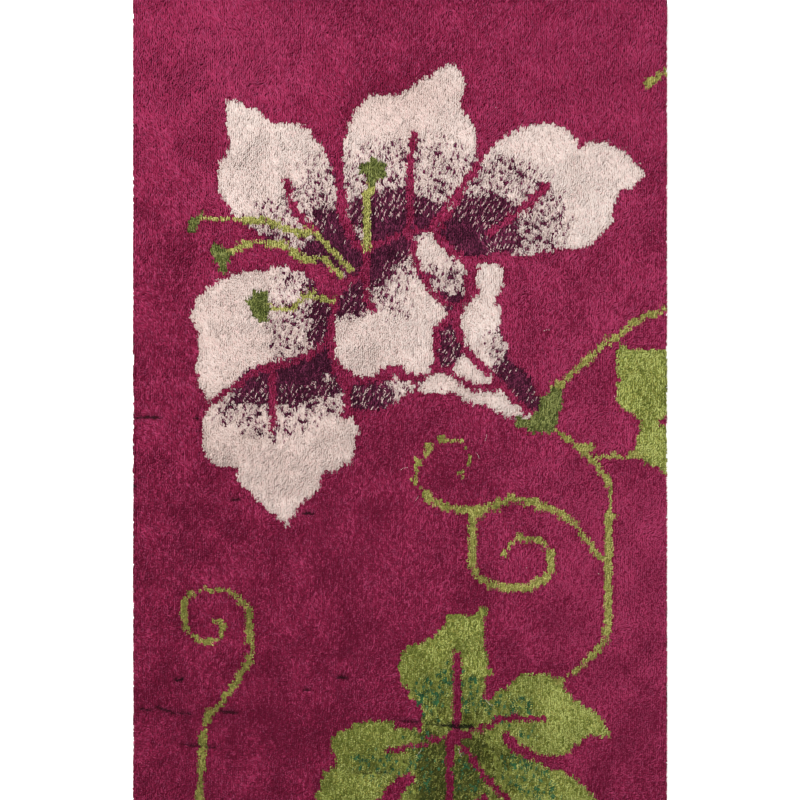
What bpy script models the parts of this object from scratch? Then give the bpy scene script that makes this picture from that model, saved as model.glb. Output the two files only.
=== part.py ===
"""A cut length of hand-knotted wool rug with a deep cut pile, lying flat on its cotton foundation.

One solid holds the rug's outer form. Its underside is flat. Its sides are cut straight: low down they are the
foundation, and above it the pile stands a little proud and rounds over at the rim. The top is as uneven as a
used rug is, with soft swells and a few partings, where the pile has opened along a line of weft.

Metres, +Z up. The origin is at the middle of the underside, +X across the rug and +Y along it.
"""

import math

import bmesh
import bpy

# The knots set the size: each one takes the same space across as along.
KNOT = 0.0034
KNOTS_ACROSS = 137
KNOT_ROWS = 206
WIDTH = KNOT * KNOTS_ACROSS
LENGTH = KNOT * KNOT_ROWS

FOUNDATION = 0.0035
PILE = 0.0095
THICKNESS = FOUNDATION + PILE

# The top is a grid of cells whose outermost line lies this far in from the sides.
RIM = 0.004
CELLS_ACROSS = 30
CELLS_ALONG = 80
MERGE = 0.00001

# From the rim of the grid down to the floor. A height with "top" is measured down from the pile's surface there.
SIDE_PROFILE = [
    # name, inset from the side, measured from, height or drop
    ("shoulder", 0.0012, "top", 0.0013),
    ("pile side", 0.0, "top", 0.0036),
    ("pile foot", 0.0, "floor", FOUNDATION + 0.0014),
    ("foundation top", 0.0015, "floor", FOUNDATION),
    ("foundation foot", 0.0015, "floor", 0.0),
]
RIM_DROP = 0.0003

# Where the rug sinks below its full thickness: share of the half width and half length, reach, depth.
SWELLS = [
    # across, along, reach, depth
    (-0.75, -0.74, 0.085, 0.0010),
    (0.15, -0.84, 0.110, 0.0009),
    (0.62, 0.12, 0.075, 0.0007),
    (-0.45, 0.70, 0.120, 0.0006),
    (0.70, 0.86, 0.095, 0.0008),
    (-0.85, 0.05, 0.090, 0.0006),
]

# Partings run across the rug: their middle, half their length, the slope of their line and their depth.
PARTING_REACH = 0.0055
PARTINGS = [
    # across, along, half length, slope, depth
    (0.049, -0.285, 0.016, 0.02, 0.0016),
    (-0.181, -0.303, 0.027, 0.03, 0.0013),
    (-0.024, -0.325, 0.025, -0.02, 0.0013),
    (-0.203, -0.270, 0.014, 0.12, 0.0011),
    (-0.149, -0.272, 0.013, 0.04, 0.0010),
    (-0.052, -0.243, 0.011, 0.05, 0.0009),
    (-0.215, -0.015, 0.016, 0.03, 0.0009),
]


def bell(distance, reach):
    """1 in the middle, falling smoothly to nearly nothing at twice the reach."""
    return math.exp(-((distance / reach) ** 2))


def swell_depth(x, y):
    """How far the soft unevenness lowers the top at a point."""
    total = 0.0
    for across, along, reach, depth in SWELLS:
        dx = x - across * WIDTH / 2
        dy = y - along * LENGTH / 2
        total += depth * bell(math.hypot(dx, dy), reach)
    return total


def parting_depth(x, y):
    """How far the partings lower the top at a point. Each is a trough that fades out at its ends."""
    total = 0.0
    for across, along, half_length, slope, depth in PARTINGS:
        dx = x - across
        dy = y - along - slope * dx
        total += depth * bell(dx, half_length) * bell(dy, PARTING_REACH)
    return total


def top_height(x, y):
    return THICKNESS - swell_depth(x, y) - parting_depth(x, y)


def pulled_in(point, inset):
    """A point of the rim, moved straight out or in until it lies that far in from the nearest sides."""
    x, y = point.x, point.y
    if abs(abs(x) - (WIDTH / 2 - RIM)) < MERGE:
        x = math.copysign(WIDTH / 2 - inset, x)
    if abs(abs(y) - (LENGTH / 2 - RIM)) < MERGE:
        y = math.copysign(LENGTH / 2 - inset, y)
    return x, y


def make_top(bm):
    """The grid of the top, spread over the rug inside its rim. Returns the edges of the rim."""
    bmesh.ops.create_grid(bm, x_segments=CELLS_ACROSS, y_segments=CELLS_ALONG, size=1.0)
    for vert in bm.verts:
        vert.co.x *= WIDTH / 2 - RIM
        vert.co.y *= LENGTH / 2 - RIM
        vert.co.z = top_height(vert.co.x, vert.co.y)
    rim = [edge for edge in bm.edges if edge.is_boundary]
    for vert in {vert for edge in rim for vert in edge.verts}:
        vert.co.z -= RIM_DROP
    return rim


def make_sides(bm, rim):
    """Draws the rim down to the floor in rings, one for each line of the profile, and closes the underside."""
    start = {vert: vert for edge in rim for vert in edge.verts}
    for _name, inset, measured_from, height in SIDE_PROFILE:
        made = bmesh.ops.extrude_edge_only(bm, edges=rim)["geom"]
        fresh = {item for item in made if isinstance(item, bmesh.types.BMVert)}
        onward = {}
        for edge in rim:
            for old in edge.verts:
                new = next(e.other_vert(old) for e in old.link_edges if e.other_vert(old) in fresh)
                onward[new] = start[old]
        for new, first in onward.items():
            x, y = pulled_in(first.co, inset)
            new.co = (x, y, top_height(x, y) - height if measured_from == "top" else height)
        start = onward
        rim = [item for item in made if isinstance(item, bmesh.types.BMEdge) and item.is_boundary]
    bmesh.ops.edgeloop_fill(bm, edges=rim)
    bmesh.ops.recalc_face_normals(bm, faces=bm.faces)


def wool(name, colour, roughness):
    material = bpy.data.materials.new(name)
    material.use_nodes = True
    shader = material.node_tree.nodes["Principled BSDF"]
    shader.inputs["Base Color"].default_value = (*colour, 1.0)
    shader.inputs["Roughness"].default_value = roughness
    shader.inputs["Metallic"].default_value = 0.0
    return material


def make_rug(collection):
    bm = bmesh.new()
    rim = make_top(bm)
    make_sides(bm, rim)
    mesh = bpy.data.meshes.new("rug")
    bm.to_mesh(mesh)
    bm.free()
    mesh.materials.append(wool("raspberry_wool", (0.235, 0.021, 0.055), 0.95))
    mesh.shade_smooth()
    mesh.set_sharp_from_angle(angle=math.radians(50))
    rug = bpy.data.objects.new("rug", mesh)
    collection.objects.link(rug)
    return rug


def main():
    for obj in list(bpy.data.objects):
        bpy.data.objects.remove(obj)
    collection = bpy.data.collections.new("knotted_rug_length")
    bpy.context.scene.collection.children.link(collection)
    make_rug(collection)


main()
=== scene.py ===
"""The looks of a cut length of hand-knotted rug: deep wool pile, its drawing and its cotton foundation.

The drawing is worked out on a chart with one cell for each knot, as a weaver's chart is. Every knot then
gets its own tuft of leaning wool locks in its yarn's colour. Chart places are in knots, counted from the
lower left corner. Everything else is in metres, in the solid's frame.
"""

import math

import bmesh
import bpy
import numpy as np
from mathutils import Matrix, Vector


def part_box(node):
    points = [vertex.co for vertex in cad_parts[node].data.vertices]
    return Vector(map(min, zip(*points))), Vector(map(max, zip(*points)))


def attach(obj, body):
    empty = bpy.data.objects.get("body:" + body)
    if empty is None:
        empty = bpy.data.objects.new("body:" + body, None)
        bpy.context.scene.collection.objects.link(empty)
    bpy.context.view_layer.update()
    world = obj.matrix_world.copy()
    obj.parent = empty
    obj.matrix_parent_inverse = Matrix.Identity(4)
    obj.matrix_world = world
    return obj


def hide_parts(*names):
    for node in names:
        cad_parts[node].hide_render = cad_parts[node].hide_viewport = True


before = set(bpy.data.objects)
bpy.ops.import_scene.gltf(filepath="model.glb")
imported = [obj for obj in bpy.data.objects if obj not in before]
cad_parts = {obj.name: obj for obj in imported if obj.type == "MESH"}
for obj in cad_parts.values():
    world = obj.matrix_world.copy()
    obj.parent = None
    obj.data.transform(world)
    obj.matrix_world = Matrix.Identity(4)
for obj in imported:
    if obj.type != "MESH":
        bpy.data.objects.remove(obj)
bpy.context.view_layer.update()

# --------------------------------------------------------------------------------------------------------
# Sizes

KNOTS_ACROSS = 137
KNOT_ROWS = 206
LOW, HIGH = (Vector(corner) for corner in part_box("rug"))
WIDTH = HIGH.x - LOW.x
LENGTH = HIGH.y - LOW.y
THICKNESS = HIGH.z - LOW.z
KNOT = WIDTH / KNOTS_ACROSS
FOUNDATION = 0.0035
FOUNDATION_INSET = 0.0015

# The pile: each knot's yarn has two ends, side by side, and each end is a number of locks, which are slim
# three-sided spikes. Places in a knot are in shares of the knot.
LOCKS_PER_END = 5
ENDS_APART = 0.5
END_WIDTH = 0.34
END_LENGTH = 0.95
END_TWIST = 0.2
LOCK_HEIGHT = 0.0046
LOCK_HALF_WIDTH = 0.00085
LOCK_REACH = 0.0022
FOOT_SHARE = 0.72
TIP_SHORTFALL = 0.0012
RIM_LOCKS_PER_END = 5
ROOTS_BELOW_LOCKS = 0.0006
PILE_STRIPS = 4

# How full each yarn's tuft stands, and how thick its locks are. The others are 1. A fuller tuft presses a
# slimmer neighbour together, and neighbours of another yarn all round press a knot by this share.
FULLNESS = {"blush": 1.05, "plum": 0.95}
LOCK_FULLNESS = {"blush": 1.2}
PRESSED = 0.6

# The unevenness of the cloth, as in the solid: share of the half width and half length, reach, depth.
SWELLS = [
    (-0.75, -0.74, 0.085, 0.0010),
    (0.15, -0.84, 0.110, 0.0009),
    (0.62, 0.12, 0.075, 0.0007),
    (-0.45, 0.70, 0.120, 0.0006),
    (0.70, 0.86, 0.095, 0.0008),
    (-0.85, 0.05, 0.090, 0.0006),
]
PARTING_REACH = 0.0055
PARTINGS = [
    # across, along, half length, slope, depth
    (0.049, -0.285, 0.016, 0.02, 0.0016),
    (-0.181, -0.303, 0.027, 0.03, 0.0013),
    (-0.024, -0.325, 0.025, -0.02, 0.0013),
    (-0.203, -0.270, 0.014, 0.12, 0.0011),
    (-0.149, -0.272, 0.013, 0.04, 0.0010),
    (-0.052, -0.243, 0.011, 0.05, 0.0009),
    (-0.215, -0.015, 0.016, 0.03, 0.0009),
]

# --------------------------------------------------------------------------------------------------------
# Lines and fields on the chart

COLUMN, ROW = np.meshgrid(np.arange(KNOTS_ACROSS) + 0.5, np.arange(KNOT_ROWS) + 0.5)


def through(points, steps=8, closed=False):
    """A smooth line through the points."""
    points = [np.array(point, dtype=float) for point in points]
    if closed:
        points = [points[-1], *points, points[0], points[1]]
    else:
        points = [2 * points[0] - points[1], *points, 2 * points[-1] - points[-2]]
    line = []
    for before, start, end, after in zip(points, points[1:], points[2:], points[3:]):
        for t in np.linspace(0, 1, steps, endpoint=False):
            line.append(
                start
                + 0.5 * t * (end - before)
                + t * t * (before - 2.5 * start + 2 * end - 0.5 * after)
                + t * t * t * (1.5 * start - 1.5 * end + 0.5 * after - 0.5 * before)
            )
    if not closed:
        line.append(points[-2])
    return np.array(line)


def within(outline):
    """The knots whose middle lies inside a closed outline."""
    inside = np.zeros(COLUMN.shape, dtype=bool)
    for (x0, y0), (x1, y1) in zip(outline, np.roll(outline, -1, axis=0)):
        if y0 == y1:
            continue
        crossed = (y0 > ROW) != (y1 > ROW)
        inside ^= crossed & (COLUMN < x0 + (ROW - y0) * (x1 - x0) / (y1 - y0))
    return inside


def nearest(line):
    """For each knot, its distance from a line, and where it is nearest, counted in points of the line."""
    best = np.full(COLUMN.shape, np.inf)
    place = np.zeros(COLUMN.shape)
    for index, (start, end) in enumerate(zip(line, line[1:])):
        dx, dy = end[:2] - start[:2]
        length = dx * dx + dy * dy
        if length == 0:
            continue
        t = np.clip(((COLUMN - start[0]) * dx + (ROW - start[1]) * dy) / length, 0, 1)
        away = np.hypot(COLUMN - start[0] - t * dx, ROW - start[1] - t * dy)
        closer = away < best
        best[closer] = away[closer]
        place[closer] = (index + t)[closer]
    return best, place


# How fine a scatter is along the pile and across it, in cycles to a knot, and how often it is evened out.
SCATTER_ALONG = 0.38
SCATTER_ACROSS = 0.46
SCATTER_ROUNDS = 3
# What one knot adds to the numbers that strew dots, across and along, how much they stray and how far
# each yarn's are shifted.
STREWN_ACROSS = 0.7549
STREWN_ALONG = 0.5698
STREWN_JITTER = 0.2
STREWN_SHIFT = 0.37


def even_scatter(seed):
    """A number from 0 to 1 for each knot. Near neighbours differ, across the weft more strictly than along
    the pile, where streaks may follow one another."""
    field = np.random.default_rng(seed).random(COLUMN.shape)
    along = np.fft.fftfreq(KNOT_ROWS)[:, None] / SCATTER_ALONG
    across = np.fft.fftfreq(KNOTS_ACROSS)[None, :] / SCATTER_ACROSS
    fine_only = 1 - np.exp(-(along**2 + across**2))
    for _round in range(SCATTER_ROUNDS):
        field = np.fft.ifft2(np.fft.fft2(field) * fine_only).real
        field = field.ravel().argsort().argsort().reshape(COLUMN.shape) / COLUMN.size
    return field


def strewn(yarn):
    """A number from 0 to 1 for each knot. Those under a limit lie evenly apart, as a careful weaver strews
    dots, and a little jitter keeps them from lining up."""
    jitter = STREWN_JITTER * np.random.default_rng(yarn).random(COLUMN.shape)
    return (STREWN_ACROSS * COLUMN + STREWN_ALONG * ROW + jitter + STREWN_SHIFT * yarn) % 1


DRIFT_CELLS = 64
DRIFT_START = (20.3, 24.7)


def eased(share):
    """The share from 0 to 1, starting and ending gently."""
    return share * share * (3 - 2 * share)


def drift(x, y, size, seed):
    """A field that wanders smoothly between 0 and 1, with features about as wide as the size."""
    cells = np.random.default_rng(seed).random((DRIFT_CELLS, DRIFT_CELLS))
    u = x / size + DRIFT_START[0]
    v = y / size + DRIFT_START[1]
    i = np.floor(u).astype(int)
    j = np.floor(v).astype(int)
    right = eased(u - i)
    up = eased(v - j)
    i, next_i = i % DRIFT_CELLS, (i + 1) % DRIFT_CELLS
    j, next_j = j % DRIFT_CELLS, (j + 1) % DRIFT_CELLS
    low = cells[i, j] * (1 - right) + cells[next_i, j] * right
    high = cells[i, next_j] * (1 - right) + cells[next_i, next_j] * right
    return low * (1 - up) + high * up


def straying(x, y, amount, size, seed):
    """A field that wanders smoothly to both sides of 0, by the amount from its lowest to its highest."""
    return amount * (drift(x, y, size, seed) - 0.5)


# --------------------------------------------------------------------------------------------------------
# The chart

YARNS = ["raspberry", "blush", "plum", "leaf", "moss", "vine", "lime", "sap", "teal"]
RASPBERRY, BLUSH, PLUM, LEAF, MOSS, VINE, LIME, SAP, TEAL = range(len(YARNS))
chart = np.full(COLUMN.shape, RASPBERRY)
streaks = {yarn: np.zeros(COLUMN.shape, dtype=bool) for yarn in (BLUSH, PLUM, LEAF, MOSS, TEAL)}
# How uneven the weaver's lines are, over how many knots, and its seed.
LINE_UNEVENNESS = (0.5, 2.6, 15)
# A speckle is dense from this thickness on, and there this share of the other yarn is left as streaks.
# Elsewhere these shares of its thickness are whole knots and single ends. Its edge thins out by the last.
DENSE = 0.55
STREAK_SHARE = 1.5
WHOLE_SHARE = 0.72
SINGLE_SHARE = 1.0
THINNING = 0.8


def blade(root, tip, bend, left, right):
    """The outline of a petal or leaflet: a bowed spine, and half widths at shares of the spine's length."""
    root = np.array(root, dtype=float)
    tip = np.array(tip, dtype=float)
    run = tip - root
    bow = root + run / 2 + 2 * bend * np.array([-run[1], run[0]]) / np.hypot(*run)

    def off_the_spine(share, half_width):
        at = (1 - share) ** 2 * root + 2 * share * (1 - share) * bow + share**2 * tip
        heading = (1 - share) * (bow - root) + share * (tip - bow)
        return at + half_width * np.array([-heading[1], heading[0]]) / np.hypot(*heading)

    going = [off_the_spine(share, half_width) for share, half_width in left]
    coming = [off_the_spine(share, -half_width) for share, half_width in reversed(right)]
    return np.concatenate([through([*going, tip], 5), through([tip, *coming], 5)])


def stroke(points, yarn):
    """A line of knots, with its width as each point's third number."""
    line = through(points)
    away, place = nearest(line)
    widths = np.interp(place, np.arange(len(line)), line[:, 2])
    chart[away <= widths / 2] = yarn


def even_stroke(points, width, yarn, end_width=None):
    """A line of knots of one width, or tapering to another. The weaver's hand makes it a little uneven."""
    widths = np.linspace(width, end_width or width, len(points))
    line = through([(x, y, w) for (x, y), w in zip(points, widths)])
    away, place = nearest(line)
    widths = np.interp(place, np.arange(len(line)), line[:, 2])
    widths *= 1 + straying(COLUMN, ROW, *LINE_UNEVENNESS)
    chart[away <= widths / 2] = yarn


def speckle(area, yarn, ground, cores, scatter):
    """Dots one yarn into an area of another: as dense as it gets within a reach of each core line, then
    thinning out. Some dots are whole knots, and single ends lie half-way between those. Where it is dense,
    only streaks of the other yarn are left."""
    thick = np.zeros(COLUMN.shape)
    for core, solid, fade, most in cores:
        away, _place = nearest(through(core) if len(core) > 2 else np.array(core, dtype=float))
        thin = np.clip((fade - away) / (fade - solid), 0, 1)
        thick = np.maximum(thick, most * thin**THINNING)
    dense = area & (thick >= DENSE)
    thin = area & (thick < DENSE)
    dots = strewn(yarn)
    chart[dense | thin & (WHOLE_SHARE * thick > dots)] = yarn
    streaks[ground][dense] = (STREAK_SHARE * (1 - thick) > scatter)[dense]
    streaks[yarn][thin] |= (SINGLE_SHARE * thick > (dots + 0.5) % 1)[thin]


# The flower. Half widths are (share of the spine from its root, knots), looking from root to tip.
PETALS = [
    # The upper left petal.
    dict(
        root=(55, 143),
        tip=(24.2, 180.5),
        bend=-1.5,
        left=[(0.02, 4), (0.17, 13), (0.3, 17), (0.48, 19), (0.66, 18), (0.76, 14.5), (0.8, 8.3),
              (0.9, 5.5), (0.97, 2.3)],
        right=[(0.03, 1.5), (0.19, 2.8), (0.35, 7.6), (0.5, 9.3), (0.64, 8.8), (0.71, 5.9),
               (0.74, 3.7), (0.83, 3.5), (0.93, 1.4)],
        plum=[
            ([(51, 148.6), (53, 147.6)], 1, 3, 1.0),
            ([(49.2, 149.2), (52.6, 147.8)], 2.6, 6.2, 0.68),
            ([(48.4, 147), (53, 144.6)], 1.4, 6, 0.66),
            ([(50, 158), (46, 150), (40, 146), (35, 145.6)], 5, 9.5, 0.4),
        ],
    ),
    # The top petal.
    dict(
        root=(67, 143),
        tip=(82.8, 189.3),
        bend=2.5,
        left=[(0, 9), (0.16, 14.4), (0.31, 16), (0.45, 18.1), (0.57, 18), (0.67, 15.8), (0.71, 11.6),
              (0.75, 7.9), (0.84, 5.7), (0.95, 2.2)],
        right=[(0.02, 8.5), (0.16, 10.9), (0.35, 14.4), (0.52, 15.4), (0.62, 14.7), (0.71, 12.6),
               (0.77, 10.2), (0.79, 6.8), (0.88, 5.4), (0.95, 3.8), (0.98, 1.9)],
        plum=[
            ([(60, 150.5), (66.5, 153), (69, 152.6)], 3.2, 8.4, 0.64),
            ([(62, 147), (70, 147)], 2, 4.6, 1.0),
            ([(73.2, 152), (77.6, 150)], 2.4, 7.4, 0.64),
            ([(73.2, 148.6), (76.4, 148.6)], 1.4, 3.6, 1.0),
            ([(58, 154), (70, 158.5), (81, 156.5)], 9.5, 14, 0.36),
        ],
    ),
    # The right petal.
    dict(
        root=(82, 143),
        tip=(131.3, 161.2),
        bend=0,
        left=[(-0.06, 2.6), (0, 5.6), (0.07, 8.2), (0.15, 11.5), (0.25, 16.2), (0.34, 19.9),
              (0.46, 21.6), (0.6, 21.2), (0.69, 18.6), (0.735, 14.9), (0.75, 11.8), (0.8, 12.1),
              (0.86, 10.9), (0.93, 7.1), (0.98, 2.6)],
        right=[(0.05, 4.5), (0.21, 6.6), (0.32, 9.3), (0.46, 10.4), (0.57, 12.4), (0.69, 11),
               (0.76, 8.9), (0.8, 5.5), (0.84, 2.6), (0.93, 2)],
        plum=[
            ([(80, 147.6), (83.4, 146.4), (87, 142)], 2.4, 5, 1.0),
            ([(83, 150.4), (89, 151.6), (95, 150)], 3, 8, 0.64),
            ([(88, 144), (95, 144)], 3.4, 8, 0.64),
            ([(86, 158), (94, 158), (103, 152.5), (103, 144)], 5, 9, 0.46),
        ],
    ),
    # The left petal.
    dict(
        root=(52, 122),
        tip=(19.3, 103.5),
        bend=-5,
        left=[(0.05, 4), (0.26, 6.2), (0.44, 6.3), (0.62, 5), (0.75, 5), (0.91, 2.4), (0.97, 1.8)],
        right=[(0.02, 4), (0.15, 14.2), (0.33, 17.6), (0.51, 19.6), (0.65, 19.1), (0.73, 15.8),
               (0.755, 12.2), (0.81, 9.8), (0.89, 7), (0.96, 4.1), (0.98, 1.8)],
        plum=[
            ([(47.8, 132), (49.6, 127), (48.6, 118.6)], 2.4, 7.6, 0.66),
            ([(43.6, 133), (42, 124), (42.6, 116.6)], 4, 8.5, 0.38),
        ],
    ),
    # The lower left petal.
    dict(
        root=(44, 113),
        tip=(39.6, 70.8),
        bend=-1,
        left=[(0, 6), (0.12, 10.8), (0.25, 13.2), (0.34, 16.2), (0.46, 16.2), (0.53, 16.5),
              (0.6, 14.2), (0.635, 12.4), (0.645, 9.2), (0.7, 7.7), (0.77, 8.1), (0.84, 4.5),
              (0.92, 1.6)],
        right=[(0, 4), (0.04, 8), (0.1, 12.9), (0.16, 15.3), (0.23, 16.9), (0.32, 21.6), (0.38, 22.8),
               (0.55, 22.9), (0.63, 20.7), (0.665, 17.2), (0.665, 14), (0.75, 12.4), (0.83, 8.6),
               (0.92, 4)],
        plum=[
            ([(30.6, 107.5), (35, 108.5)], 1.6, 4, 0.95),
            ([(38.6, 109.6), (42, 110.4), (47, 111.6)], 2.4, 4.4, 1.0),
            ([(29.5, 106.5), (36, 106), (44, 107.6), (51, 108.8)], 3.6, 6.8, 0.68),
            ([(26, 101), (32, 98.6), (40, 98.6), (51, 104)], 2.6, 6.5, 0.4),
        ],
    ),
    # The strip of a petal seen edge on, at the right.
    dict(
        root=(91, 137.8),
        tip=(103.5, 100),
        bend=-3,
        left=[(0, 3.2), (0.05, 4.4), (0.12, 3.6), (0.24, 1.1), (0.29, 1.6), (0.4, 0.4), (0.52, 1),
              (0.65, 0.3), (0.74, 2.6), (0.9, 2.6)],
        right=[(0, 2.8), (0.06, 3.4), (0.17, 2.7), (0.22, 5.4), (0.3, 8.2), (0.46, 8.8), (0.57, 6.2),
               (0.72, 4.2), (0.88, 2.2)],
        plum=[
            ([(97.6, 109.4), (102.4, 102.6)], 3, 7.4, 0.86),
            ([(94.6, 115.6), (99, 108)], 3.6, 7, 0.34),
        ],
    ),
    # The small lip.
    dict(
        root=(74.1, 146.2),
        tip=(83.7, 127),
        bend=-1.5,
        left=[(0.05, 2), (0.25, 4), (0.41, 5.6), (0.59, 7.3), (0.72, 6.7), (0.83, 5), (0.94, 3)],
        right=[(0.05, 1.2), (0.18, 2.5), (0.32, 3), (0.5, 2.4), (0.67, 3.4), (0.8, 2.2), (0.93, 2.8)],
        plum=[
            ([(80.5, 127.4), (84.8, 127.8)], 1.4, 3.6, 0.9),
            ([(79, 132.4), (86.4, 133.6)], 3.6, 6.5, 0.42),
        ],
    ),
]

# The front petal hangs towards the viewer, so it has no spine of its own on the chart.
FRONT_PETAL = [
    (53.6, 134), (52.6, 128), (51.8, 119), (53, 111.5), (57, 109.4), (61.5, 109.4), (65.6, 111.8),
    (69, 110.8), (72.8, 109), (76.6, 112), (76.8, 121), (80.7, 125.2), (77.4, 128.8), (74.2, 134.8),
    (71.8, 143), (70, 146), (65.5, 144), (60, 141.5),
]
FRONT_PLUM = [
    ([(61.6, 136), (62.6, 140), (66, 142), (70, 144)], 1.4, 3.8, 1.0),
    ([(56.4, 136.6), (58.6, 139.4)], 1.8, 3.4, 0.95),
    ([(62, 135.5), (63.6, 140), (68.6, 142.6)], 3, 7.2, 0.66),
    ([(63.6, 131), (68, 135.4), (71, 139)], 2.6, 5.4, 0.42),
    ([(62.6, 131), (67, 126.5)], 1.6, 5, 0.34),
    ([(54.5, 127.2), (58.6, 128.2)], 1.6, 4.8, 0.7),
    ([(54.5, 132), (58.5, 132)], 1, 3.6, 0.75),
]
# Between the petals' roots, where the stamens start.
THROAT = [(43, 141.5), (50, 137.2), (52, 134), (59.5, 133.6), (60, 141.5), (54.5, 147)]
THROAT_PLUM = [([(50, 141), (58, 138.4)], 5, 12, 0.95)]

# A corner of the lower left petal, up between the lines.
CORNER = [(40, 110), (43.6, 113), (47.4, 117), (49.6, 117), (51, 112.6), (50, 108)]
CORNER_PLUM = [([(43, 111), (49, 114)], 4, 6, 1.0)]
# Three scraps of the far petals, below the lip.
WEDGE = [(81.4, 123.3), (84, 118.6), (85.4, 115.6), (82.6, 113.2), (80.3, 112), (78, 114.5), (79, 120.5)]
WEDGE_PLUM = [([(80.8, 121), (80.4, 115.5)], 2.4, 6, 0.68)]
TEAR = [(81.6, 110), (82.8, 112.6), (84.8, 115.6), (86.2, 115.2), (88.2, 112.4), (92.8, 107.9),
        (90.7, 106.9), (88.4, 106.2), (86, 107.9), (83.6, 108.8)]
LOWER_STRIP = [
    (55.8, 106.6), (56, 101.1), (63.7, 100.9), (67.6, 102.9), (71.5, 105.2), (77.4, 105.3),
    (82, 104.9), (85.4, 102.9), (88.8, 102.2), (92.4, 100.8), (99, 98), (102.3, 98.5), (98.9, 103.2),
    (93.4, 105.4), (88.7, 105.4), (83.5, 107.4), (79.2, 110.4), (75.6, 108.8), (71.4, 107.4),
    (67.3, 108.6), (63.5, 107.4), (59.6, 107.2),
]
STRIP_PLUM = [([(57, 104), (62.4, 104)], 4, 7.6, 0.62), ([(64, 105), (70, 105)], 2, 5, 0.3)]

# Ground colour parts the petals and draws their veins.
GROUND_LINES = [
    # Veins.
    ([(39.4, 159.6), (39.9, 157.2), (41, 153.2), (42.7, 150), (45.4, 147.6), (47.2, 146.4)], 1.8),
    ([(71.9, 171), (71.3, 165), (70.8, 158), (70.6, 150), (70.6, 145)], 1.7),
    ([(106, 158.2), (103.6, 155.8)], 2.4),
    ([(104.4, 156.5), (101.1, 152.9), (98.5, 151), (94.5, 148), (91, 145.5)], 1.8),
    ([(36, 112), (36.2, 104), (35.7, 96.4)], 2.0),
    # Between the petals.
    ([(54, 152.5), (54.8, 147.5), (57, 143.2), (60, 141.4)], 2.0),
    ([(52.6, 163), (53.8, 155), (54, 150)], 1.7),
    ([(60, 141.6), (64.8, 143.6), (67.6, 145), (70.4, 146.8)], 1.6),
    ([(70, 146.6), (78, 146.6)], 1.5),
    ([(76.4, 146.8), (78.4, 150.2), (82.6, 155.2), (86.2, 160.5), (88.5, 164.1), (89.5, 168)], 1.45),
    ([(41, 139.6), (44.8, 137.8), (48.4, 135.4)], 1.9),
    ([(60, 134.6), (57.3, 134.2), (54.4, 132.8), (52.2, 129.2), (51.3, 124), (50.9, 118),
      (51.9, 112.8), (54.6, 110)], 2.0),
    ([(59.8, 141), (59.6, 132.6), (60.2, 128.4), (61.8, 125.4)], 2.0),
    ([(15, 101.6), (20, 102.4), (24.3, 105.3), (27.5, 107.2), (30.7, 110), (37.1, 111.6),
      (43.6, 113.5), (46.8, 115.5), (50, 118.4), (51.6, 120.8)], 1.7),
    ([(54.6, 110.5), (54.8, 104), (54.6, 99.5)], 1.9),
    ([(54.5, 109), (60, 108.2), (64.6, 110.6), (67.4, 111.4), (72, 108.6), (75, 109.6)], 1.5),
    ([(71.6, 146), (72.4, 140), (74.2, 134.9), (76.4, 131.3), (80.4, 128.2), (84, 126)], 1.6),
    ([(77.4, 146.2), (81.4, 142), (85, 138.4), (88, 137)], 1.5),
    ([(85.4, 138.6), (89.5, 139.2), (96.4, 140.2)], 2.0),
    ([(86.7, 138), (87, 133), (86, 129.4), (83.4, 126)], 2.3),
    ([(82.8, 125.5), (83.4, 120.4), (85.2, 116.2), (86.8, 114), (89.9, 111), (92.6, 108.8), (97, 104),
      (101.4, 99.8)], 1.8),
    ([(81.6, 124.4), (78.6, 121.6), (77.8, 117.5), (77.6, 113.6), (80.2, 110.6), (84.2, 107.9),
      (88, 105.8), (92.6, 106.6)], 1.6),
    ([(92.6, 107), (95.6, 105), (98.6, 102.4)], 1.7),
    ([(71.9, 109), (72.2, 104.6)], 1.2),
]
GROUND_BLOT = ((50.2, 134.4), 2.1)

# Stamens are light green threads with dark anthers.
STAMENS = [
    [(17.4, 149.6, 1.3), (26.2, 149.4, 1.5), (35, 148.4, 1.7), (41.9, 146.1, 1.6), (47.2, 145.3, 1.7),
     (49.6, 142.6, 1.6), (53.6, 138.9, 1.4), (56.8, 136.2, 1.2)],
    [(24.2, 140.4, 1.6), (29.8, 143.3, 1.9), (37.5, 142.9, 1.9), (43.8, 139.2, 1.8), (48.7, 139.4, 1.7),
     (53.4, 134.9, 1.6)],
    [(61.3, 160.4, 2), (59.8, 151.9, 2.1), (60, 141.6, 2.4)],
    [(34.6, 126.7, 1.5), (41.1, 126.7, 1.6), (43.7, 129.3, 1.8), (47.2, 129.6, 1.8), (50.8, 128.4, 1.7)],
]
ANTHERS = [
    [(13.6, 146.6), (15, 150), (17.6, 150.6), (17.2, 147.6), (15.6, 145.6)],
    [(20.4, 142.6), (22.6, 142.8), (24.8, 140.4), (24.4, 137), (23.4, 135), (21.8, 137.4), (20.2, 140)],
    [(57.8, 161.8), (59.6, 164), (62.6, 164.8), (65, 163.2), (64.6, 160.4), (62, 159), (61.2, 157.6),
     (60, 160.4)],
    [(28.7, 128), (31.4, 131.5), (34.9, 131.2), (34.6, 126), (34.6, 122.8), (32.6, 122.4), (30.8, 125.2)],
]
CALYX = [
    (107.4, 105.6), (109.7, 106.2), (109.6, 100.8), (108.9, 97), (107.4, 95.2), (101.2, 95.3),
    (97.4, 96.9), (97.8, 98.6), (102.4, 98.4), (103.8, 100), (103.6, 103),
]

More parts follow.
